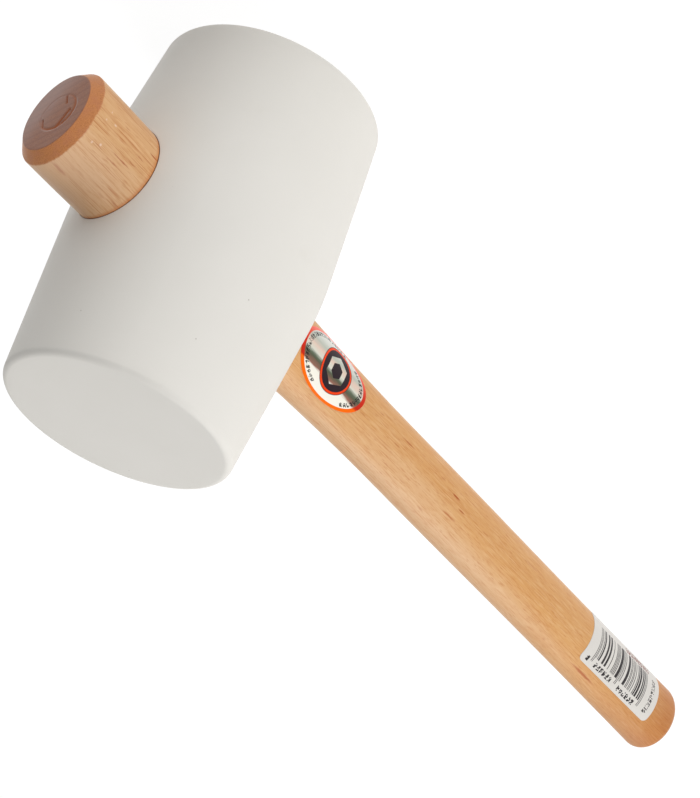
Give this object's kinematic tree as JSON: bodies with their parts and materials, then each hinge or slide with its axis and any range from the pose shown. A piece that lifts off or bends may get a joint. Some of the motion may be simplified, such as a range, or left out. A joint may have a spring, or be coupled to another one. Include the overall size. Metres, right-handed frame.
{
  "type": "rubber mallet",
  "caption": "Rubber mallet with a barrel-shaped white rubber head on a turned beech handle that passes right through it, with printed labels on the grip.",
  "frame": {"origin": "centre of the lower striking face, which the mallet stands on", "axes": "+Z along the head's axis, up from the lower striking face; the handle lies along X, its thick top end towards +X and its grip towards -X; the labelled side of the handle faces -Y"},
  "size_m": [0.403, 0.09, 0.1365],
  "materials": {
    "white_rubber": "matte moulded",
    "lacquered_beech": "clear lacquer",
    "printed_foil": "printed metallised film",
    "printed_paper": "coated paper, printed"
  },
  "bodies": {
    "root": {"rubber_head": "white_rubber", "handle": "lacquered_beech", "round_label": "printed_foil", "barcode_label": "printed_paper"}
  },
  "joints": []
}
